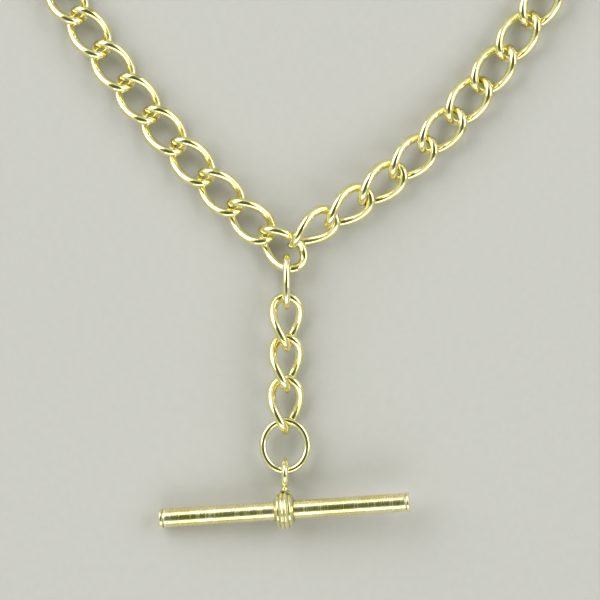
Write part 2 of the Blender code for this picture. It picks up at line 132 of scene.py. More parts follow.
def buildHairlines():
    # fine polishing lines in three directions, as thin grooves in stretched noise
    group, source, result = startGroup(
        "hairlines", {"Scale": 2600.0, "Amount": 0.5}, ("Mask", "Height")
    )
    place = shiftedPlace(group)
    total = None
    for turn in ((0.3, 0.2, 0.5), (1.1, 0.7, 1.9), (-0.6, 1.3, 2.8)):
        mapping = addNode(group, "ShaderNodeMapping", {}, {"Rotation": turn, "Scale": (1.0, 0.035, 1.0)})
        group.links.new(place, mapping.inputs["Vector"])
        noise = addNode(group, "ShaderNodeTexNoise", {}, {"Detail": 2.0, "Roughness": 0.6})
        group.links.new(mapping.outputs[0], noise.inputs["Vector"])
        group.links.new(source.outputs["Scale"], noise.inputs["Scale"])
        line = addSpan(group, noise.outputs["Fac"], 0.615, 0.66)
        total = line if total is None else addMath(group, "MAXIMUM", total, line)
    mask = addMath(group, "MULTIPLY", total, source.outputs["Amount"], True)
    group.links.new(mask, result.inputs["Mask"])
    group.links.new(addMath(group, "MULTIPLY", mask, -1.0), result.inputs["Height"])
    return group


def buildHandling():
    # broad cloudy change from handling, with small dull spots in it
    group, source, result = startGroup("handling", {"Scale": 420.0, "Spots": 0.4}, ("Cloud", "Spot", "Height"))
    place = shiftedPlace(group)
    cloud = addNode(group, "ShaderNodeTexNoise", {}, {"Detail": 4.0, "Roughness": 0.55})
    group.links.new(place, cloud.inputs["Vector"])
    group.links.new(source.outputs["Scale"], cloud.inputs["Scale"])
    soft = addSpan(group, cloud.outputs["Fac"], 0.36, 0.66)
    fine = addNode(group, "ShaderNodeTexNoise", {}, {"Detail": 3.0, "Roughness": 0.7})
    group.links.new(place, fine.inputs["Vector"])
    group.links.new(addMath(group, "MULTIPLY", source.outputs["Scale"], 6.5), fine.inputs["Scale"])
    spot = addMath(group, "MULTIPLY", addSpan(group, fine.outputs["Fac"], 0.60, 0.74), source.outputs["Spots"])
    group.links.new(soft, result.inputs["Cloud"])
    group.links.new(spot, result.inputs["Spot"])
    group.links.new(addMath(group, "SUBTRACT", soft, spot), result.inputs["Height"])
    return group


def buildRubbing():
    # reads how worn each part of a piece is and how much patina and painted shade it carries, and roughens the
    # border between
    group, source, result = startGroup("rubbing", {"Scale": 1500.0, "Break": 0.35}, ("Worn", "PatinaAndShade"))
    noise = addNode(group, "ShaderNodeTexNoise", {}, {"Detail": 3.0, "Roughness": 0.6})
    group.links.new(shiftedPlace(group), noise.inputs["Vector"])
    group.links.new(source.outputs["Scale"], noise.inputs["Scale"])
    around = addMath(group, "SUBTRACT", noise.outputs["Fac"], 0.5)
    broken = addMath(group, "MULTIPLY", around, source.outputs["Break"])
    for name, label in (("worn", "Worn"), ("patinaAndShade", "PatinaAndShade")):
        read = addNode(group, "ShaderNodeAttribute", {"attribute_name": name})
        both = addMath(group, "ADD", read.outputs["Fac"], broken)
        group.links.new(addSpan(group, both, 0.15, 0.85), result.inputs[label])
    return group


groups = {"hairlines": buildHairlines(), "handling": buildHandling(), "rubbing": buildRubbing()}


def placeGroup(tree, name, values):
    node = addNode(tree, "ShaderNodeGroup", {"node_tree": groups[name]})
    for label, value in values.items():
        node.inputs[label].default_value = value
    return node


def addMix(tree, factor, first, second):
    node = addNode(tree, "ShaderNodeMix", {"data_type": "RGBA"})
    tree.links.new(factor, node.inputs["Factor"])
    for slot, source in ((node.inputs["A"], first), (node.inputs["B"], second)):
        if isinstance(source, tuple):
            slot.default_value = (*source, 1.0)
        else:
            tree.links.new(source, slot)
    return node.outputs["Result"]


def makeMetal(name, look):
    metal = bpy.data.materials.new(name)
    metal.use_nodes = True
    tree = metal.node_tree
    shader = tree.nodes["Principled BSDF"]
    shader.inputs["Metallic"].default_value = 1.0
    shader.inputs["Specular Tint"].default_value = (*look["glint"], 1.0)
    handling = placeGroup(tree, "handling", {"Scale": look["cloudScale"], "Spots": look["spots"]})
    lines = placeGroup(tree, "hairlines", {"Scale": look["lineScale"], "Amount": look["lines"]})
    rubbing = placeGroup(tree, "rubbing", {"Scale": look["rubScale"], "Break": look["rubBreak"]})
    colour = addMix(tree, handling.outputs["Cloud"], look["deep"], look["light"])
    # the patina-and-shade mask mixes towards the dull colour: patina in hollows and joints, and painted shade
    # beside the collar
    for source, share, over in (
        (rubbing.outputs["PatinaAndShade"], look["patinaAndShadeShare"], look["dull"]),
        (rubbing.outputs["Worn"], look["rubbed"], look["bare"]),
        (handling.outputs["Spot"], look["spotShare"], look["dull"]),
    ):
        colour = addMix(tree, addMath(tree, "MULTIPLY", source, share), colour, over)
    tree.links.new(colour, shader.inputs["Base Color"])
    rough = addMath(tree, "MULTIPLY", handling.outputs["Cloud"], look["cloudRough"])
    rough = addMath(tree, "ADD", rough, look["rough"])
    for source, share in (
        (lines.outputs["Mask"], look["lineRough"]),
        (handling.outputs["Spot"], look["spotRough"]),
        (rubbing.outputs["Worn"], look["wornRough"]),
        (rubbing.outputs["PatinaAndShade"], look["patinaAndShadeRough"]),
    ):
        rough = addMath(tree, "ADD", rough, addMath(tree, "MULTIPLY", source, share))
    tree.links.new(addMath(tree, "MAXIMUM", rough, look["leastRough"]), shader.inputs["Roughness"])
    height = addMath(tree, "MULTIPLY", handling.outputs["Height"], look["waves"])
    height = addMath(tree, "ADD", height, addMath(tree, "MULTIPLY", lines.outputs["Height"], look["lineDepth"]))
    bumpDistance = look["bumpDistance"] * mm
    bump = addNode(tree, "ShaderNodeBump", {}, {"Strength": look["bump"], "Distance": bumpDistance})
    tree.links.new(height, bump.inputs["Height"])
    tree.links.new(bump.outputs["Normal"], shader.inputs["Normal"])
    return metal


polishedLook = {
    "light": (0.94, 0.88, 0.50), "deep": (0.88, 0.80, 0.38),
    "bare": (0.96, 0.92, 0.60), "dull": (0.50, 0.43, 0.15),
    "glint": (1.0, 1.0, 1.0), "rough": 0.07, "cloudRough": 0.05, "wornRough": 0.06, "patinaAndShadeRough": 0.16,
    "patinaAndShadeShare": 0.75, "rubbed": 0.7, "cloudScale": 420.0, "spots": 0.5, "lineScale": 2600.0, "lines": 0.55,
    "rubScale": 1500.0, "rubBreak": 0.4, "waves": 0.5, "lineDepth": 0.5, "bump": 0.28, "bumpDistance": 0.02,
    "spotShare": 0.5, "lineRough": 0.12, "spotRough": 0.22, "leastRough": 0.03,
}
metals = {
    "polishedGold": makeMetal("polishedGold", polishedLook),
    "ringGold": makeMetal("ringGold", polishedLook | {
        "light": (0.95, 0.90, 0.56), "deep": (0.90, 0.83, 0.44), "rough": 0.06, "lineScale": 3200.0,
    }),
    "barGold": makeMetal("barGold", polishedLook | {
        "light": (0.94, 0.88, 0.52), "deep": (0.87, 0.77, 0.36), "rough": 0.19, "cloudScale": 260.0,
        "lineScale": 1800.0, "lines": 0.8, "waves": 0.8,
    }),
    "clipGold": makeMetal("clipGold", polishedLook | {"rough": 0.12, "lineScale": 2000.0, "lines": 0.8}),
    "leafSteel": makeMetal("leafSteel", polishedLook | {
        "light": (0.62, 0.60, 0.52), "deep": (0.50, 0.47, 0.38), "bare": (0.70, 0.69, 0.64),
        "dull": (0.30, 0.27, 0.20), "rough": 0.24, "lines": 1.0,
    }),
}
print("metals ready")


# meshes

def meshFromGrid(name, points, marks, ends=None):
    rows, columns = points.shape[:2]
    faces = []
    lastRow = rows if ends is None else rows - 1
    for row in range(lastRow):
        below = row * columns
        above = (row + 1) % rows * columns
        for column in range(columns):
            beside = (column + 1) % columns
            faces.append((below + column, above + column, above + beside, below + beside))
    spots = [tuple(point) for point in points.reshape(-1, 3)]
    if ends == "flat":
        faces.append(tuple(range(columns)))
        faces.append(tuple(reversed(range((rows - 1) * columns, rows * columns))))
    made = bpy.data.meshes.new(name)
    made.from_pydata(spots, [], faces)
    for label, values in marks.items():
        attribute = made.attributes.new(label, "FLOAT", "POINT")
        attribute.data.foreach_set("value", np.asarray(values, np.float32).ravel())
    made.validate()
    work = bmesh.new()
    work.from_mesh(made)
    bmesh.ops.recalc_face_normals(work, faces=work.faces)
    work.to_mesh(made)
    work.free()
    made.shade_smooth()
    made.set_sharp_from_angle(angle=math.radians(40))
    return made


def addPiece(name, mesh, place, body, metal, stands=()):
    piece = bpy.data.objects.new(name, mesh)
    scene.collection.objects.link(piece)
    if not mesh.materials:
        mesh.materials.append(metal)
    piece.matrix_world = place
    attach(piece, body)
    if stands:
        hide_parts(*stands)
    return piece


def sweepWire(line, radius, sides):
    # rows of points round a closed centre line; the first column faces the loop's middle
    ahead = np.roll(line, -1, 0) - np.roll(line, 1, 0)
    ahead /= np.linalg.norm(ahead, axis=1)[:, None]
    inward = line.mean(0) - line
    inward -= (inward * ahead).sum(1)[:, None] * ahead
    inward /= np.linalg.norm(inward, axis=1)[:, None]
    aside = np.cross(ahead, inward)
    turns = np.linspace(0, 2 * math.pi, sides, endpoint=False)
    wide = np.asarray(radius)
    if wide.ndim == 0:
        wide = np.full((len(line), sides), float(radius))
    return (
        line[:, None]
        + wide[..., None] * np.cos(turns)[None, :, None] * inward[:, None]
        + wide[..., None] * np.sin(turns)[None, :, None] * aside[:, None]
    ), turns


def smoothStep(values, low, high):
    share = np.clip((np.asarray(values, float) - low) / (high - low), 0, 1)
    return share * share * (3 - 2 * share)


# curb links: an oval of round wire, twisted a quarter turn from end to end

curb = {
    "wire": 1.30, "length": 8.50, "width": 5.80, "squareness": 0.15, "twist": 90,
    "loopPoints": 128, "wireSides": 24, "wearStart": 0.86, "wearDepth": 0.016,
    "seamWidth": 0.05, "seamDepth": 0.012, "trim": 0.020,
}
punch = {
    "at": -52, "facing": 150, "halfLength": 0.46, "halfWidth": 0.27, "depth": 0.030, "rim": 0.012,
    "loopPoints": 420, "wireSides": 64,
}


def curbLine(turns):
    halfLength = (curb["length"] - curb["wire"]) / 2 * mm
    halfWidth = (curb["width"] - curb["wire"]) / 2 * mm
    along = halfLength * np.cos(turns)
    across = halfWidth * np.sin(turns) * (1 + curb["squareness"] * np.cos(turns) ** 2)
    tilt = -math.radians(curb["twist"]) / 2 * along / halfLength
    return np.stack([along, across * np.cos(tilt), across * np.sin(tilt)], 1)


def makeCurbMesh(name, punched):
    size = punch if punched else curb
    turns = np.linspace(0, 2 * math.pi, size["loopPoints"], endpoint=False)
    line = curbLine(turns)
    sides = size["wireSides"]
    halfWire = (curb["wire"] / 2 - curb["trim"]) * mm
    facing = np.linspace(0, 2 * math.pi, sides, endpoint=False)
    inner = np.clip(np.cos(facing), 0, 1)[None, :] ** 2
    ends = smoothStep(np.abs(np.cos(turns)), curb["wearStart"], 1.0)[:, None]
    worn = ends * inner
    radius = np.full((len(turns), sides), halfWire) - curb["wearDepth"] * mm * worn
    # the seam where the wire's ends were joined, on one long side
    step = np.linalg.norm(np.roll(line, -1, 0) - line, axis=1)
    length = np.concatenate([[0], np.cumsum(step)[:-1]])
    seamAt = length[len(turns) // 4]
    seam = np.exp(-((length - seamAt) / (curb["seamWidth"] * mm)) ** 2)[:, None]
    radius -= curb["seamDepth"] * mm * seam
    # darker round the link ends, most on the inner side outside the worn spot, and along the seam
    patinaAndShade = 0.55 * ends * np.clip(np.cos(facing) * 0.5 + 0.5, 0, 1)[None, :] * (1 - worn) + 0.6 * seam
    if punched:
        markAt = length[int(len(turns) * ((punch["at"] % 360) / 360))]
        offAlong = (length - markAt)[:, None]
        offAround = (np.angle(np.exp(1j * (facing - math.radians(punch["facing"])))) * halfWire)[None, :]
        oval = np.sqrt(
            (offAlong / (punch["halfLength"] * mm)) ** 2 + (offAround / (punch["halfWidth"] * mm)) ** 2
        )
        hollow = 1 - smoothStep(oval, 0.72, 1.0)
        rim = np.exp(-((oval - 1.12) / 0.14) ** 2)
        radius += mm * (punch["rim"] * rim - punch["depth"] * hollow)
        patinaAndShade = np.maximum(patinaAndShade, 0.75 * hollow)
        worn = np.maximum(worn, 0.6 * rim)
    points, _ = sweepWire(line, radius, sides)
    return meshFromGrid(name, points, {"worn": worn, "patinaAndShade": np.broadcast_to(patinaAndShade, radius.shape)})


chainLie = {
    "centreRoll": 22, "leftRolls": [-16, -10, -5], "rightRolls": [48, 39, 30, 21, 13, 6],
    "dropRolls": [-45, -45, -36], "punchedLeft": [1, 3, 4, 6], "punchedRight": [4, 8],
}
plainCurb = makeCurbMesh("curbPlain", False)
punchedCurb = makeCurbMesh("curbPunched", True)


def addCurbLink(node, pivot, roll, punched=False):
    middle = middleOf(node)
    place = placed(middle, headingTo(pivot, middle), math.radians(roll))
    mesh = punchedCurb if punched else plainCurb
    addPiece(node + "_wire", mesh, place, node, metals["polishedGold"], [node])


addCurbLink("centre_link", hingeOf("left_link_01"), chainLie["centreRoll"])
for arm in ("left", "right", "drop"):
    rolls = chainLie[arm + "Rolls"]
    names = sorted(name for name in frame["nodes"] if name.startswith(arm + "_link_"))
    for index, node in enumerate(names):
        roll = rolls[index] if index < len(rolls) else 0
        punched = index in chainLie.get("punched" + arm.capitalize(), [])
        addCurbLink(node, hingeOf(node), roll, punched)
print("curb links placed")


# plain rings of round wire: the jump ring on edge, the toggle ring laid flat

rings = {
    "jump_ring": {"wire": 1.07, "length": 8.00, "width": 4.90, "roll": 90},
    "toggle_ring": {"wire": 1.03, "length": 7.97, "width": 7.20, "roll": 0},
    "points": 128, "sides": 24, "gapTurn": 0.6, "gapWidth": 0.05, "gapDepth": 0.02, "gapShelter": 0.7,
    "wearStart": 0.82, "wearDepth": 0.014, "trim": 0.015,
}


def makeRingMesh(name, length, width, wire):
    turns = np.linspace(0, 2 * math.pi, rings["points"], endpoint=False)
    line = np.stack([
        (length - wire) / 2 * mm * np.cos(turns), (width - wire) / 2 * mm * np.sin(turns), np.zeros_like(turns)
    ], 1)
    facing = np.linspace(0, 2 * math.pi, rings["sides"], endpoint=False)
    ends = smoothStep(np.abs(np.cos(turns)), rings["wearStart"], 1.0)[:, None]
    worn = ends * np.clip(np.cos(facing), 0, 1)[None, :] ** 2
    join = np.exp(-(((turns - rings["gapTurn"]) * width / 2) / rings["gapWidth"]) ** 2)[:, None]
    radius = np.full(worn.shape, (wire / 2 - rings["trim"]) * mm)
    radius = radius - mm * (rings["wearDepth"] * worn + rings["gapDepth"] * join)
    points, _ = sweepWire(line, radius, rings["sides"])
    patinaAndShade = np.broadcast_to(rings["gapShelter"] * join, worn.shape)
    return meshFromGrid(name, points, {"worn": worn, "patinaAndShade": patinaAndShade})


for node in ("jump_ring", "toggle_ring"):
    size = rings[node]
    mesh = makeRingMesh(node + "Mesh", size["length"], size["width"], size["wire"])
    middle = middleOf(node)
    place = placed(middle, headingTo(hingeOf(node), middle), math.radians(size["roll"]))
    addPiece(node + "_wire", mesh, place, node, metals["ringGold"], [node])
print("rings placed")


# the toggle bar: tube, two end caps, reeded collar and eye

toggle = {
    "barRadius": 1.30, "tubeWall": 0.30, "tubeRows": 81, "tubePlainEnd": 0.4, "tubeEndSteps": (0.0, 0.03, 0.10),
    "tubeEndDraw": 0.05, "tubeEndWear": 1.6, "collarShadow": 0.22, "wear": 0.8,
    "capThickness": 0.50, "capEdge": 0.10, "capProud": 0.05, "spigotRadius": 0.95, "spigotLength": 1.2,
    "capUndercut": ((0.0, 0.13), (0.04, 0.07), (0.14, 0.05)),
    "collarRadius": 2.75, "collarWidth": 2.65, "collarRim": 1.85, "collarBoreGap": 0.05, "collarRows": 161,
    "reeds": 4, "reedDepth": 0.16, "grooveSharpness": 2.2,
    "eyeWire": 0.92, "eyeLength": 4.40, "eyeWidth": 5.20, "eyePoints": 112, "eyeSides": 24,
    "neckSpan": 0.95, "neckRadius": 0.42, "neckFlare": 0.34, "flareSharpness": 2.4, "neckRows": 25,
    "neckSink": 0.62,
}


def turnProfile(name, profile, worn=None, patinaAndShade=None, steps=96):
    # turns (radius, along) points in millimetres about the X axis; a radius of 0 closes an end
    profile = np.asarray(profile, float) * mm
    angles = np.linspace(0, 2 * math.pi, steps, endpoint=False)
    points = np.stack([
        np.broadcast_to(profile[:, 1][:, None], (len(profile), steps)),
        profile[:, 0][:, None] * np.cos(angles)[None, :],
        profile[:, 0][:, None] * np.sin(angles)[None, :],
    ], 2)
    marks = {}
    for label, values in (("worn", worn), ("patinaAndShade", patinaAndShade)):
        values = np.zeros(len(profile)) if values is None else np.asarray(values, float)
        marks[label] = np.broadcast_to(values[:, None], (len(profile), steps))
    mesh = meshFromGrid(name, points, marks, "open")
    work = bmesh.new()
    work.from_mesh(mesh)
    bmesh.ops.remove_doubles(work, verts=work.verts, dist=1e-7)
    bmesh.ops.holes_fill(work, edges=work.edges, sides=0)
    bmesh.ops.recalc_face_normals(work, faces=work.faces)
    work.to_mesh(mesh)
    work.free()
    return mesh


barLeft = Vector(mounts["bar_end_left"]["pos_m"])
barRight = Vector(mounts["bar_end_right"]["pos_m"])
barWay = (barRight - barLeft).normalized()
barMiddle = (barLeft + barRight) / 2
barHalf = (barRight - barLeft).length / 2 / mm
barSide = upAxis.cross(barWay).normalized()
barTurn = Matrix((barWay, barSide, barWay.cross(barSide))).transposed().to_4x4()
barPlace = Matrix.Translation(barMiddle) @ barTurn

# tube: very slightly drawn in and softened at both ends, with a painted shadow of the collar on it
tubeEnd = barHalf - toggle["capThickness"]
tubeEndSteps = np.array(toggle["tubeEndSteps"])
tubePlain = tubeEnd - toggle["tubePlainEnd"]
tubeAlong = np.concatenate([
    -tubeEnd + tubeEndSteps,
    np.linspace(-tubePlain, tubePlain, toggle["tubeRows"]),
    tubeEnd - tubeEndSteps[::-1],
])
tubeDraw = 1 - smoothStep(tubeEnd - np.abs(tubeAlong), 0, tubeEndSteps[-1])
tubeOuter = np.stack([toggle["barRadius"] - toggle["tubeEndDraw"] * tubeDraw, tubeAlong], 1)
tubeBore = toggle["barRadius"] - toggle["tubeWall"]
tubeProfile = np.concatenate([[[tubeBore, -tubeEnd]], tubeOuter, [[tubeBore, tubeEnd]], [[tubeBore, 0]]])
tubeWorn = toggle["wear"] * (1 - smoothStep(tubeEnd - np.abs(tubeProfile[:, 1]), 0.0, toggle["tubeEndWear"]))
# painted shadow of the collar: the tube darkens towards the collar's edges
tubeOffCollar = np.abs(tubeProfile[:, 1]) - toggle["collarWidth"] / 2
tubeCollarShadow = np.exp(-(tubeOffCollar / toggle["collarShadow"]) ** 2)
tubeMesh = turnProfile("tubeMesh", np.concatenate([tubeProfile, tubeProfile[:1]]),
                       np.append(tubeWorn, tubeWorn[0]), np.append(tubeCollarShadow, 0))
addPiece("toggle_tube_skin", tubeMesh, barPlace, "toggle_bar", metals["barGold"], ["toggle_tube"])

# caps: a rounded disc with a dark joint under it and a spigot inside the tube
capRadius = toggle["barRadius"] + toggle["capProud"]
capThick = toggle["capThickness"]
capEdge = toggle["capEdge"]
capCorner = [(capRadius - capEdge + capEdge * math.sin(a), capThick - capEdge + capEdge * math.cos(a))
             for a in np.linspace(0, math.pi / 2, 7)]
capProfile = [(0, capThick), (capRadius * 0.5, capThick)] + capCorner
capProfile += [(capRadius - inset, height) for inset, height in toggle["capUndercut"]]
capProfile += [(toggle["spigotRadius"], toggle["capUndercut"][-1][1]),
               (toggle["spigotRadius"], -toggle["spigotLength"]), (0, -toggle["spigotLength"])]
capWorn = [0.1, 0.2] + [0.9] * len(capCorner) + [0.5, 0, 0, 0, 0, 0]
capShelter = [0] * (2 + len(capCorner)) + [0.1, 0.9, 1, 1, 0, 0]
capMesh = turnProfile("capMesh", capProfile, capWorn, capShelter)
for side, name in ((1, "toggle_cap_right"), (-1, "toggle_cap_left")):
    place = barPlace @ Matrix.Translation((side * tubeEnd * mm, 0, 0))
    if side < 0:
        place = place @ Matrix.Rotation(math.pi, 4, "Z")
    addPiece(name + "_skin", capMesh, place, "toggle_bar", metals["barGold"], [name])

# collar: barrel with round reeds between sharp grooves
collarShare = np.linspace(1, -1, toggle["collarRows"])
barrel = toggle["collarRim"] + (toggle["collarRadius"] - toggle["collarRim"]) * (1 - collarShare ** 2)
groove = np.abs(np.cos(math.pi * toggle["reeds"] * (collarShare + 1) / 2))
collarProfile = [(radius - toggle["reedDepth"] * cut, share * toggle["collarWidth"] / 2)
                 for radius, cut, share in zip(barrel, groove ** toggle["grooveSharpness"], collarShare)]
collarShelter = list(smoothStep(groove, 0.80, 1.0))
collarWorn = list(toggle["wear"] * (1 - smoothStep(groove, 0.0, 0.45)))
collarBore = toggle["barRadius"] + toggle["collarBoreGap"]
collarProfile += [(collarBore, -toggle["collarWidth"] / 2), (collarBore, toggle["collarWidth"] / 2),
                  collarProfile[0]]
collarMesh = turnProfile("collarMesh", collarProfile, collarWorn + [0, 0, collarWorn[0]],
                         collarShelter + [1, 1, collarShelter[0]], 128)
addPiece("toggle_collar_reeds", collarMesh, barPlace, "toggle_bar", metals["ringGold"], ["toggle_collar"])

# eye: an upright loop on a short flared neck
eyeLow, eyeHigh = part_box("toggle_eye")
dropWay = (middleOf("toggle_ring") - hingeOf("toggle_ring")).normalized()
eyeMiddle = Vector((
    (eyeLow.x + eyeHigh.x) / 2, eyeHigh.y - toggle["eyeLength"] / 2 * mm, (eyeLow.z + eyeHigh.z) / 2
))
eyeTurns = np.linspace(0, 2 * math.pi, toggle["eyePoints"], endpoint=False)
eyeLine = np.stack([
    -(toggle["eyeLength"] - toggle["eyeWire"]) / 2 * mm * np.cos(eyeTurns),
    np.zeros_like(eyeTurns),
    (toggle["eyeWidth"] - toggle["eyeWire"]) / 2 * mm * np.sin(eyeTurns),
], 1)
eyeRadius = toggle["eyeWire"] / 2 * mm * np.ones((len(eyeTurns), toggle["eyeSides"]))
eyePoints, eyeFacing = sweepWire(eyeLine, eyeRadius, toggle["eyeSides"])
eyeWorn = smoothStep(np.cos(eyeTurns), 0.7, 1.0)[:, None] * np.clip(np.cos(eyeFacing), 0, 1)[None, :]
eyeMesh = meshFromGrid("eyeMesh", eyePoints, {"worn": eyeWorn, "patinaAndShade": np.zeros_like(eyeWorn)})
eyePlace = placed(eyeMiddle, math.atan2(dropWay.y, dropWay.x))
addPiece("toggle_eye_loop", eyeMesh, eyePlace, "toggle_bar", metals["ringGold"], ["toggle_eye"])
neckShare = np.linspace(0, 1, toggle["neckRows"])
neckRadii = toggle["neckRadius"] + toggle["neckFlare"] * np.abs(2 * neckShare - 1) ** toggle["flareSharpness"]
neckProfile = [(0, 0)] + list(zip(neckRadii, neckShare * toggle["neckSpan"])) + [(0, toggle["neckSpan"])]
neckMesh = turnProfile("neckMesh", neckProfile, [0] * len(neckProfile),
                       [0] + list(smoothStep(neckShare, 0.7, 1.0)) + [1], 48)
neckStart = toggle["eyeLength"] / 2 - toggle["eyeWire"] * toggle["neckSink"]
neckPlace = eyePlace @ Matrix.Translation((neckStart * mm, 0, 0))
addPiece("toggle_eye_neck", neckMesh, neckPlace, "toggle_bar", metals["ringGold"])
print("toggle bar placed")


# bows and swivel clips, outside the chain's main view

clip = {
    "bowWire": 1.00, "bowLength": 4.80, "bowRoll": 32, "hookedWire": 1.30, "bowSlack": 0.45,
    "stemRadius": 0.60, "headRadius": 1.00, "headThickness": 0.70, "neckGap": 0.50, "headPlay": 0.30,
    "thickness": 3.00, "neckHalfWidth": 2.10, "neckCorner": 0.80, "neckWall": 1.70, "windowLength": 1.40,
    "windowHalfWidth": 1.30, "slotStart": 3.90, "slotHalf": 0.90, "slotTop": 0.90, "hookCentre": 11.00,
    "hookHalfLength": 6.00, "hookHalfWidth": 3.90, "hookHalfWall": 0.95, "hookStart": 150, "hookNose": -98,
    "pivotAngle": -150, "earRadius": 1.30, "rivetRadius": 0.36, "rivetHole": 0.42, "boreRadius": 0.72,
    "edge": 0.38, "edgeSteps": 5, "bowPoints": 96, "bowSides": 24, "stemFlare": 0.22, "flareStart": 0.35,
    "flareLength": 0.45, "headEdge": 0.15, "rivetInset": 0.05, "rivetDome": 0.10, "boreExtra": 0.05,
}
latch = {
    "halfWall": 0.62, "halfThickness": 0.80, "gap": 0.20, "hubRadius": 1.00, "hubSide": 9, "thumb": 0.80,
    "heelBack": 0.60, "heelRise": 1.35, "heelLength": 0.40, "heelChamfer": 0.15, "edge": 0.16,
}
leaf = {
    "thickness": 0.22, "halfWidth": 0.60, "inset": 0.30, "rootDrop": 0.12, "tipDrop": 0.08, "bow": 0.18,
    "edge": 0.04,
}


def ovalArc(halfLength, halfWidth, first, last, steps):
    angles = np.radians(np.linspace(first, last, steps + 1))
    return list(zip(clip["hookCentre"] + halfLength * np.cos(angles), halfWidth * np.sin(angles)))


def roundArc(middle, radius, first, last, steps):
    angles = np.radians(np.linspace(first, last, steps + 1))
    return list(zip(middle[0] + radius * np.cos(angles), middle[1] + radius * np.sin(angles)))


def hookOval(offset):
    return clip["hookHalfLength"] + offset, clip["hookHalfWidth"] + offset


pivotSpot = ovalArc(*hookOval(0), clip["pivotAngle"], clip["pivotAngle"], 0)[0]
noseSpot = ovalArc(*hookOval(0), clip["hookNose"], clip["hookNose"], 0)[0]
wall = clip["hookHalfWall"]
neckTop = clip["neckHalfWidth"] - clip["neckCorner"]
bodyLine = [(0, neckTop), (clip["neckCorner"], clip["neckHalfWidth"])]
bodyLine += ovalArc(*hookOval(wall), clip["hookStart"], clip["hookNose"], 96)
bodyLine += roundArc(noseSpot, wall, clip["hookNose"] - 15, clip["hookNose"] - 165, 14)
bodyLine += ovalArc(*hookOval(-wall), clip["hookNose"], clip["hookStart"] + 15, 96)
bodyLine += roundArc(pivotSpot, clip["earRadius"], 65, -135, 32)
bodyLine += [(clip["neckCorner"], -clip["neckHalfWidth"]), (0, -neckTop)]

noseEdge = noseSpot[0] - wall - latch["gap"] - clip["hookCentre"]
tip = -math.degrees(math.acos(noseEdge / clip["hookHalfLength"]))
hubSide = clip["pivotAngle"] + latch["hubSide"]
span = hubSide - tip
heel = (pivotSpot[0] - latch["heelBack"], pivotSpot[1] + latch["heelRise"])
latchWall = latch["halfWall"]
latchLine = []
for share in np.linspace(0, 1, 49):
    # the outer side, with a smooth rise for the thumb
    rise = smoothStep(share, 0.26, 0.46) * (1 - smoothStep(share, 0.50, 0.74))
    latchLine += ovalArc(*hookOval(latchWall + latch["thumb"] * rise), tip + span * share, tip, 0)
latchLine += roundArc(pivotSpot, latch["hubRadius"], -100, -235, 24)
heelEnd = heel[0] + latch["heelLength"]
latchLine += [
    heel, (heelEnd, heel[1] + latch["heelChamfer"]), (heelEnd + 2 * latch["heelChamfer"], heel[1]),
    (heelEnd + 3 * latch["heelChamfer"], pivotSpot[1] + latch["hubRadius"] * 0.9),
]
latchLine += ovalArc(*hookOval(-latchWall), hubSide, tip, 24)

leafRoot = (clip["slotStart"] + leaf["inset"], clip["slotTop"] - leaf["rootDrop"])
leafTip = (heel[0] - leaf["thickness"] / 2, heel[1] - leaf["tipDrop"])


def meshOf(item):
    # the evaluated mesh of an object that is only a step on the way
    bpy.context.view_layer.update()
    made = bpy.data.meshes.new_from_object(item.evaluated_get(bpy.context.evaluated_depsgraph_get()))
    bpy.data.objects.remove(item, do_unlink=True)
    return made


def stepObject(name, data):
    item = bpy.data.objects.new(name, data)
    scene.collection.objects.link(item)
    return item


def roundedPlate(name, line, halfThickness, edge):
    # a flat outline with thickness, its edges rolled over
    data = bpy.data.curves.new(name, "CURVE")
    data.dimensions = "2D"
    data.fill_mode = "BOTH"
    data.extrude = (halfThickness - edge) * mm
    data.bevel_depth = edge * mm
    data.bevel_resolution = clip["edgeSteps"]
    data.offset = -edge * mm
    spline = data.splines.new("POLY")
    spline.points.add(len(line) - 1)
    for spot, (x, y) in zip(spline.points, line):
        spot.co = (x * mm, y * mm, 0, 1)
    spline.use_cyclic_u = True
    return meshOf(stepObject(name, data))


def cutBy(mesh, name, cutters):
    # takes each (mesh, matrix) cutter away from the mesh
    item = stepObject(name, mesh)
    helpers = []
    for index, (data, place) in enumerate(cutters):
        helper = stepObject(name + "Cut%d" % index, data)
        helper.matrix_world = place
        helpers.append(helper)
        cut = item.modifiers.new("cut", "BOOLEAN")
        cut.solver = "EXACT"
        cut.object = helper
    made = meshOf(item)
    for helper in helpers:
        bpy.data.objects.remove(helper, do_unlink=True)
    return made


def finishEdges(mesh):
    mesh.shade_smooth()
    mesh.set_sharp_from_angle(angle=math.radians(32))
    return mesh


def rodMesh(name, radius, length, sides=40):
    work = bmesh.new()
    bmesh.ops.create_cone(
        work, cap_ends=True, segments=sides, radius1=radius * mm, radius2=radius * mm, depth=length * mm
    )
    made = bpy.data.meshes.new(name)
    work.to_mesh(made)
    work.free()
    return made


def boxMesh(name, low, high):
    work = bmesh.new()
    size = (Vector(high) - Vector(low)) * mm
    middle = (Vector(high) + Vector(low)) / 2 * mm
    bmesh.ops.create_cube(work, size=1, matrix=Matrix.Translation(middle) @ Matrix.Diagonal((*size, 1)))
    made = bpy.data.meshes.new(name)
    work.to_mesh(made)
    work.free()
    return made


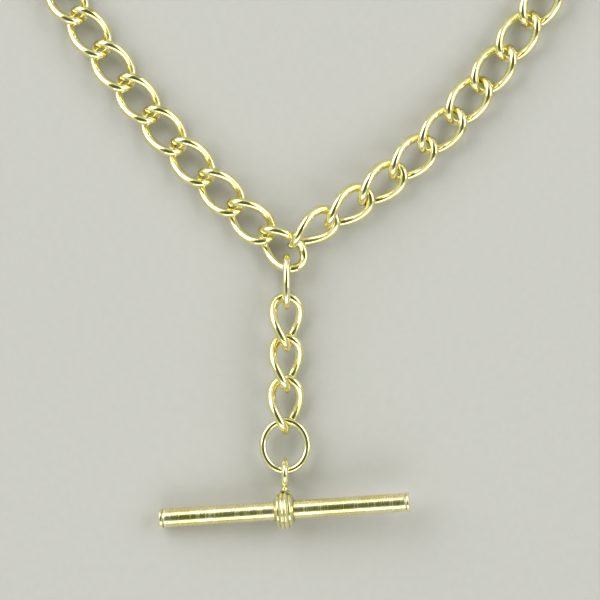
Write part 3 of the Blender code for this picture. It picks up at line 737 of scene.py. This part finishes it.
def makeBodyMesh():
    through = 2 * clip["thickness"]
    plate = roundedPlate("clipPlate", bodyLine, clip["thickness"] / 2, clip["edge"])
    pivotPlace = Matrix.Translation((pivotSpot[0] * mm, pivotSpot[1] * mm, 0))
    bore = rodMesh("bore", clip["boreRadius"], 2 * clip["neckWall"] + clip["boreExtra"])
    return finishEdges(cutBy(plate, "clipBody", [
        (bore, Matrix.Rotation(math.pi / 2, 4, "Y")),
        (boxMesh("window", (clip["neckWall"], -clip["windowHalfWidth"], -through),
                 (clip["neckWall"] + clip["windowLength"], clip["windowHalfWidth"], through)), Matrix()),
        (boxMesh("slot", (clip["slotStart"], -2 * clip["hookHalfWidth"], -clip["slotHalf"]),
                 (pivotSpot[0] + 2 * clip["earRadius"], clip["slotTop"], clip["slotHalf"])), Matrix()),
        (rodMesh("hole", clip["rivetHole"], through), pivotPlace),
    ]))


def makeLatchMesh():
    plate = roundedPlate("latchPlate", latchLine, latch["halfThickness"], latch["edge"])
    pivotPlace = Matrix.Translation((pivotSpot[0] * mm, pivotSpot[1] * mm, 0))
    hole = rodMesh("hole", clip["rivetHole"], 2 * clip["thickness"])
    return finishEdges(cutBy(plate, "latchBar", [(hole, pivotPlace)]))


def makeLeafMesh():
    middle = []
    for share in np.linspace(0, 1, 19):
        x = leafRoot[0] + (leafTip[0] - leafRoot[0]) * share - leaf["bow"] * math.sin(math.pi * share)
        middle.append((x, leafRoot[1] + (leafTip[1] - leafRoot[1]) * share))
    half = leaf["thickness"] / 2
    line = [(x - half, y) for x, y in middle] + [(x + half, y) for x, y in reversed(middle)]
    return finishEdges(roundedPlate("leafPlate", line, leaf["halfWidth"], leaf["edge"]))


def makeRivetMesh():
    # a short pin with low domed ends, set just under the clip's faces
    end = clip["thickness"] / 2 - clip["rivetInset"]
    dome = [(clip["rivetRadius"] * math.sin(a), end - clip["rivetDome"] * (1 - math.cos(a)))
            for a in np.linspace(0, math.pi / 2, 9)]
    profile = dome + [(radius, -along) for radius, along in reversed(dome)]
    made = turnProfile("rivetMesh", profile, steps=48)
    made.transform(Matrix.Rotation(math.pi / 2, 4, "Y"))
    return made


bowHalf = (clip["bowLength"] - clip["bowWire"]) / 2
bowSeat = (clip["hookedWire"] + clip["bowWire"]) / 2 + clip["bowSlack"]
bowMiddle = bowHalf - bowSeat / 2
bowRoll = math.radians(clip["bowRoll"])


def makeBowMesh():
    turns = np.linspace(0, 2 * math.pi, clip["bowPoints"], endpoint=False)
    line = np.stack([
        bowMiddle + bowHalf * np.cos(turns),
        bowHalf * np.sin(turns) * math.cos(bowRoll),
        bowHalf * np.sin(turns) * math.sin(bowRoll),
    ], 1) * mm
    radius = np.full((clip["bowPoints"], clip["bowSides"]), clip["bowWire"] / 2 * mm)
    points, facing = sweepWire(line, radius, clip["bowSides"])
    inner = np.clip(np.cos(facing), 0, 1)[None, :]
    worn = smoothStep(-np.cos(turns), 0.7, 1.0)[:, None] * inner
    patinaAndShade = smoothStep(np.cos(turns), 0.8, 1.0)[:, None] * np.ones_like(inner)
    return meshFromGrid("bowMesh", points, {"worn": worn, "patinaAndShade": patinaAndShade})


def makeStemMesh():
    start = bowMiddle + bowHalf
    head = start + clip["bowWire"] / 2 + clip["neckGap"] + clip["neckWall"] + clip["headPlay"]
    top = head + clip["headThickness"]
    edge = clip["headEdge"]
    flare = [(clip["stemRadius"] + clip["stemFlare"] * (1 - share) ** 2,
              start + clip["flareStart"] + clip["flareLength"] * share) for share in np.linspace(0, 1, 9)]
    corner = [(clip["headRadius"] - edge + edge * math.sin(a), top - edge + edge * math.cos(a))
              for a in np.linspace(math.pi / 2, 0, 6)]
    profile = [(0, start)] + [(clip["stemRadius"], start)] + flare
    profile += [(clip["stemRadius"], head), (clip["headRadius"], head)] + corner + [(0, top)]
    return turnProfile("stemMesh", profile, steps=48)


bodyMesh, latchMesh, leafMesh, rivetMesh = makeBodyMesh(), makeLatchMesh(), makeLeafMesh(), makeRivetMesh()
bowMesh, stemMesh = makeBowMesh(), makeStemMesh()
clipHeading = math.radians(90)
for side in ("left", "right"):
    bowPlace = placed(hingeOf(side + "_bow"), clipHeading)
    swivelPlace = placed(hingeOf(side + "_clip"), clipHeading)
    rivetPlace = swivelPlace @ Matrix.Translation((pivotSpot[0] * mm, pivotSpot[1] * mm, 0))
    addPiece(side + "_bow_loop", bowMesh, bowPlace, side + "_bow", metals["clipGold"], [side + "_bow"])
    addPiece(side + "_bow_stem", stemMesh, bowPlace, side + "_bow", metals["clipGold"])
    addPiece(side + "_clip_hook", bodyMesh, swivelPlace, side + "_clip", metals["clipGold"],
             [side + "_clip_body"])
    addPiece(side + "_clip_rivet", rivetMesh, rivetPlace, side + "_clip", metals["ringGold"],
             [side + "_latch_rivet"])
    addPiece(side + "_latch_bar", latchMesh, swivelPlace, side + "_latch", metals["clipGold"],
             [side + "_latch"])
    addPiece(side + "_leaf_spring", leafMesh, swivelPlace, side + "_latch_spring", metals["leafSteel"],
             [side + "_latch_spring"])
print("clips placed")


# floor, light and camera

setting = {
    "pictureWidth": 84.0, "pictureShift": (2.55, -7.30), "cameraHeight": 640.0, "floorHalf": 1200.0,
    "floorDrop": 0.02, "skyStrength": 0.86, "panelDistance": 800,
}
panels = {
    "keyPanel": {"direction": (-0.95, 0.70, 0.90), "width": 900, "height": 620, "brightness": 2.6},
    "fillPanel": {"direction": (1.00, 0.25, 0.80), "width": 760, "height": 520, "brightness": 1.9},
    "lowPanel": {"direction": (0.1, -1.0, 0.66), "width": 900, "height": 420, "brightness": 1.5},
}


def makeFloor():
    half = setting["floorHalf"] * mm
    mesh = bpy.data.meshes.new("floorMesh")
    corners = [(-half, -half, 0), (half, -half, 0), (half, half, 0), (-half, half, 0)]
    mesh.from_pydata(corners, [], [(0, 1, 2, 3)])
    floor = bpy.data.objects.new("floor", mesh)
    scene.collection.objects.link(floor)
    floor.location.z = -setting["floorDrop"] * mm
    paper = bpy.data.materials.new("palePaper")
    paper.use_nodes = True
    tree = paper.node_tree
    shader = tree.nodes["Principled BSDF"]
    shader.inputs["Roughness"].default_value = 0.7
    noise = addNode(tree, "ShaderNodeTexNoise", {}, {"Scale": 900.0, "Detail": 3.0})
    tree.links.new(addNode(tree, "ShaderNodeTexCoord").outputs["Object"], noise.inputs["Vector"])
    colour = addMix(tree, noise.outputs["Fac"], (0.52, 0.515, 0.50), (0.56, 0.555, 0.54))
    tree.links.new(colour, shader.inputs["Base Color"])
    mesh.materials.append(paper)


def makeSky():
    # a dim ceiling over the object, brighter walls, so that round wire shows a dark streak between lights
    world = bpy.data.worlds.new("studio")
    scene.world = world
    world.use_nodes = True
    tree = world.node_tree
    background = tree.nodes["Background"]
    height = addNode(tree, "ShaderNodeSeparateXYZ")
    tree.links.new(addNode(tree, "ShaderNodeTexCoord").outputs["Generated"], height.inputs[0])
    ramp = addNode(tree, "ShaderNodeValToRGB")
    stops = [(0.0, (0.40, 0.39, 0.33)), (0.26, (0.78, 0.77, 0.68)), (0.50, (1.0, 1.0, 0.96)),
             (0.66, (0.80, 0.82, 0.70)), (0.80, (0.32, 0.36, 0.23)), (0.91, (0.15, 0.18, 0.11)),
             (1.0, (0.095, 0.115, 0.07))]
    elements = ramp.color_ramp.elements
    for index, (position, colour) in enumerate(stops):
        stop = elements[index] if index < 2 else elements.new(position)
        stop.position = position
        stop.color = (*colour, 1)
    tree.links.new(height.outputs["Z"], ramp.inputs["Fac"])
    tree.links.new(ramp.outputs["Color"], background.inputs["Color"])
    background.inputs["Strength"].default_value = setting["skyStrength"]


def addPanel(name, direction, width, height, brightness):
    light = bpy.data.lights.new(name, "AREA")
    light.shape = "RECTANGLE"
    light.size = width * mm
    light.size_y = height * mm
    light.energy = brightness * math.pi * light.size * light.size_y
    lamp = bpy.data.objects.new(name, light)
    scene.collection.objects.link(lamp)
    way = Vector(direction).normalized()
    lamp.location = way * setting["panelDistance"] * mm
    lamp.rotation_euler = way.to_track_quat("Z", "Y").to_euler()
    lamp.visible_camera = False


def addCamera():
    data = bpy.data.cameras.new("camera")
    camera = bpy.data.objects.new("camera", data)
    scene.collection.objects.link(camera)
    centre = middleOf("centre_link")
    shift = setting["pictureShift"]
    camera.location = (centre.x + shift[0] * mm, centre.y + shift[1] * mm, setting["cameraHeight"] * mm)
    data.sensor_width = 36.0
    data.lens = data.sensor_width * setting["cameraHeight"] / setting["pictureWidth"]
    data.clip_start = 0.01
    data.clip_end = 10.0
    scene.camera = camera


scene.view_settings.view_transform = "Standard"
makeFloor()
makeSky()
for name, panel in panels.items():
    addPanel(name, **panel)
addCamera()
print("stage set")
